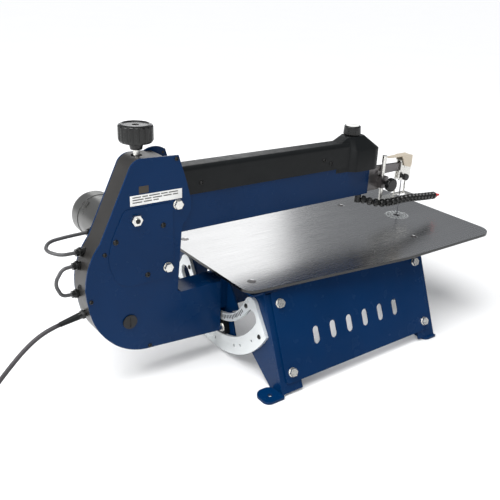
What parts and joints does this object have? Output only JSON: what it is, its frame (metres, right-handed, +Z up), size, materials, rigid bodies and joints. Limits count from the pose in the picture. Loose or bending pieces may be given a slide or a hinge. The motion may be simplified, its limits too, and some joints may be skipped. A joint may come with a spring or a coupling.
{
  "type": "scroll saw",
  "caption": "Bench scroll saw: a C-frame head with parallel-link blade drive that tilts over a fixed steel table on a sheet-metal base.",
  "frame": {"origin": "centre of the four bolt holes in the feet, on the bench", "axes": "+Z up; +X along the arms, from the column towards the blade and the operator; +Y to the motor side"},
  "size_m": [1.154, 0.4, 0.4262],
  "materials": {
    "blue_paint": "gloss",
    "grey_paint": "satin",
    "table_steel": "brushed",
    "trunnion_silver": "satin",
    "zinc_steel": "plated",
    "dark_steel": "satin",
    "blade_steel": "satin",
    "black_screws": "black oxide",
    "black_plastic": "textured",
    "knob_plastic": "satin",
    "white_plastic": "smooth",
    "label_white": "printed",
    "motor_grey": "satin",
    "lever_steel": "satin",
    "switch_plastic": "gloss",
    "nozzle_red": "smooth",
    "lead_grey": "satin",
    "cord_rubber": "matte"
  },
  "bodies": {
    "base": {"rear_end_panel": "blue_paint", "front_end_panel": "blue_paint", "near_side_panel": "blue_paint", "far_side_panel": "blue_paint", "side_panel_bolts": "zinc_steel", "rear_trunnion_plate": "trunnion_silver", "front_trunnion_plate": "trunnion_silver", "trunnion_screws": "black_screws", "table": "table_steel", "table_screws": "dark_steel", "table_spacers": "white_plastic", "mains_cord": "cord_rubber", "mains_coil": "cord_rubber", "mains_plug": "cord_rubber"},
    "head": {"column_near_plate": "blue_paint", "column_far_plate": "blue_paint", "column_rear_band": "grey_paint", "mechanism_cover": "blue_paint", "frame_bolts": "zinc_steel", "column_screws": "black_screws", "warning_label": "label_white", "lower_arm": "blue_paint", "tilt_sector_plates": "blue_paint", "rear_slide_block": "black_plastic", "motor_body": "motor_grey", "motor_end_cap": "motor_grey", "cable_glands": "knob_plastic", "motor_lead": "lead_grey", "switch_lead": "lead_grey", "strain_relief": "black_plastic"},
    "tilt_pinion": {"tilt_pinion": "zinc_steel", "tilt_knob": "knob_plastic"},
    "tilt_lock": {"tilt_lock_lever": "knob_plastic"},
    "motor_shaft": {"motor_shaft": "zinc_steel"},
    "rear_rocker": {"rear_rocker": "dark_steel", "connecting_rod": "dark_steel"},
    "lower_push_rod": {"lower_push_rod": "dark_steel"},
    "lower_front_rocker": {"lower_front_rocker": "dark_steel"},
    "lower_blade_clamp": {"lower_blade_clamp": "dark_steel", "blade": "blade_steel"},
    "upper_arm": {"upper_arm_channel": "blue_paint", "upper_arm_cover": "black_plastic", "control_housing": "black_plastic", "arm_cover_screws": "black_screws", "front_bracket": "dark_steel"},
    "upper_push_rod": {"upper_push_rod": "dark_steel"},
    "upper_front_rocker": {"upper_front_rocker": "dark_steel"},
    "upper_blade_clamp": {"upper_blade_clamp": "zinc_steel"},
    "upper_clamp_knob": {"upper_clamp_knob": "knob_plastic"},
    "tension_lever": {"tension_lever": "lever_steel"},
    "speed_knob": {"speed_knob": "knob_plastic"},
    "power_switch": {"power_switch": "switch_plastic"},
    "hold_down": {"hold_down_rod": "zinc_steel", "hold_down_foot": "zinc_steel", "guard_wire": "zinc_steel"},
    "hold_down_knob": {"hold_down_knob": "knob_plastic"},
    "air_hose": {"air_hose": "knob_plastic", "hose_nozzle": "nozzle_red"},
    "tension_knob": {"tension_knob": "knob_plastic", "tension_rod": "zinc_steel"}
  },
  "joints": [
    {"name": "head_tilt", "type": "hinge", "parent": "base", "child": "head", "pos_m": [0, 0, 0.177], "axis": [1, 0, 0], "range_deg": [-45, 45]},
    {"name": "tilt_pinion_turn", "type": "hinge", "parent": "head", "child": "tilt_pinion", "pos_m": [0.225, 0, 0.049], "axis": [1, 0, 0], "range_deg": [-640, 640]},
    {"name": "tilt_lock_turn", "type": "hinge", "parent": "head", "child": "tilt_lock", "pos_m": [0.22, 0.0262, 0.05375], "axis": [1, 0, 0], "range_deg": [0, 60]},
    {"name": "motor_spin", "type": "hinge", "parent": "head", "child": "motor_shaft", "pos_m": [-0.337, 0.013, 0.246], "axis": [0, 1, 0], "continuous": true},
    {"name": "drive_rock", "type": "hinge", "parent": "head", "child": "rear_rocker", "pos_m": [-0.287, 0, 0.196], "axis": [0, 1, 0], "range_deg": [-2.3, 2.3]},
    {"name": "lower_push", "type": "slide", "parent": "head", "child": "lower_push_rod", "axis": [1, 0, 0], "range_m": [-0.0028, 0.0028]},
    {"name": "lower_rock", "type": "hinge", "parent": "head", "child": "lower_front_rocker", "pos_m": [0.188, 0, 0.106], "axis": [0, 1, 0], "range_deg": [-6.5, 6.5]},
    {"name": "lower_blade_stroke", "type": "slide", "parent": "head", "child": "lower_blade_clamp", "axis": [0, 0, 1], "range_m": [-0.0098, 0.0098]},
    {"name": "arm_lift", "type": "hinge", "parent": "head", "child": "upper_arm", "pos_m": [-0.268, 0, 0.299], "axis": [0, -1, 0], "range_deg": [0, 8]},
    {"name": "upper_push", "type": "slide", "parent": "upper_arm", "child": "upper_push_rod", "axis": [1, 0, 0], "range_m": [-0.0028, 0.0028]},
    {"name": "upper_rock", "type": "hinge", "parent": "upper_arm", "child": "upper_front_rocker", "pos_m": [0.188, 0, 0.286], "axis": [0, 1, 0], "range_deg": [-6.5, 6.5]},
    {"name": "upper_blade_stroke", "type": "slide", "parent": "upper_arm", "child": "upper_blade_clamp", "axis": [0, 0, 1], "range_m": [-0.0098, 0.0098]},
    {"name": "blade_clamp_turn", "type": "hinge", "parent": "upper_blade_clamp", "child": "upper_clamp_knob", "pos_m": [0.268, -0.015, 0.266], "axis": [0, 1, 0], "continuous": true},
    {"name": "tension_lever_open", "type": "hinge", "parent": "upper_blade_clamp", "child": "tension_lever", "pos_m": [0.282, 0, 0.296], "axis": [0, 1, 0], "range_deg": [0, 90]},
    {"name": "speed_turn", "type": "hinge", "parent": "upper_arm", "child": "speed_knob", "pos_m": [0.119, 0, 0.376], "axis": [0, 0, 1], "range_deg": [-270, 0]},
    {"name": "switch_rock", "type": "hinge", "parent": "upper_arm", "child": "power_switch", "pos_m": [0.158, 0.01, 0.345], "axis": [0, 1, 0], "range_deg": [-4, 4]},
    {"name": "hold_down_slide", "type": "slide", "parent": "upper_arm", "child": "hold_down", "axis": [0, 0, 1], "range_m": [-0.018, 0.02]},
    {"name": "hold_down_knob_turn", "type": "hinge", "parent": "upper_arm", "child": "hold_down_knob", "pos_m": [0.197, -0.04, 0.267], "axis": [0, 1, 0], "continuous": true},
    {"name": "hose_swivel", "type": "hinge", "parent": "upper_arm", "child": "air_hose", "pos_m": [0.141, -0.01, 0.241], "axis": [0, 0, 1], "range_deg": [-40, 0]},
    {"name": "tension_turn", "type": "hinge", "parent": "head", "child": "tension_knob", "pos_m": [-0.324, 0, 0.4], "axis": [0, 0, 1], "continuous": true}
  ],
  "couplings": [
    {"joint": "tilt_pinion_turn", "follows": "head_tilt", "ratio": -13.8},
    {"joint": "lower_push", "follows": "drive_rock", "m_per_rad": -0.066},
    {"joint": "upper_push", "follows": "drive_rock", "m_per_rad": 0.066},
    {"joint": "lower_rock", "follows": "drive_rock", "ratio": -2.75},
    {"joint": "upper_rock", "follows": "drive_rock", "ratio": -2.75},
    {"joint": "lower_blade_stroke", "follows": "drive_rock", "m_per_rad": 0.2365},
    {"joint": "upper_blade_stroke", "follows": "drive_rock", "m_per_rad": 0.2365}
  ]
}
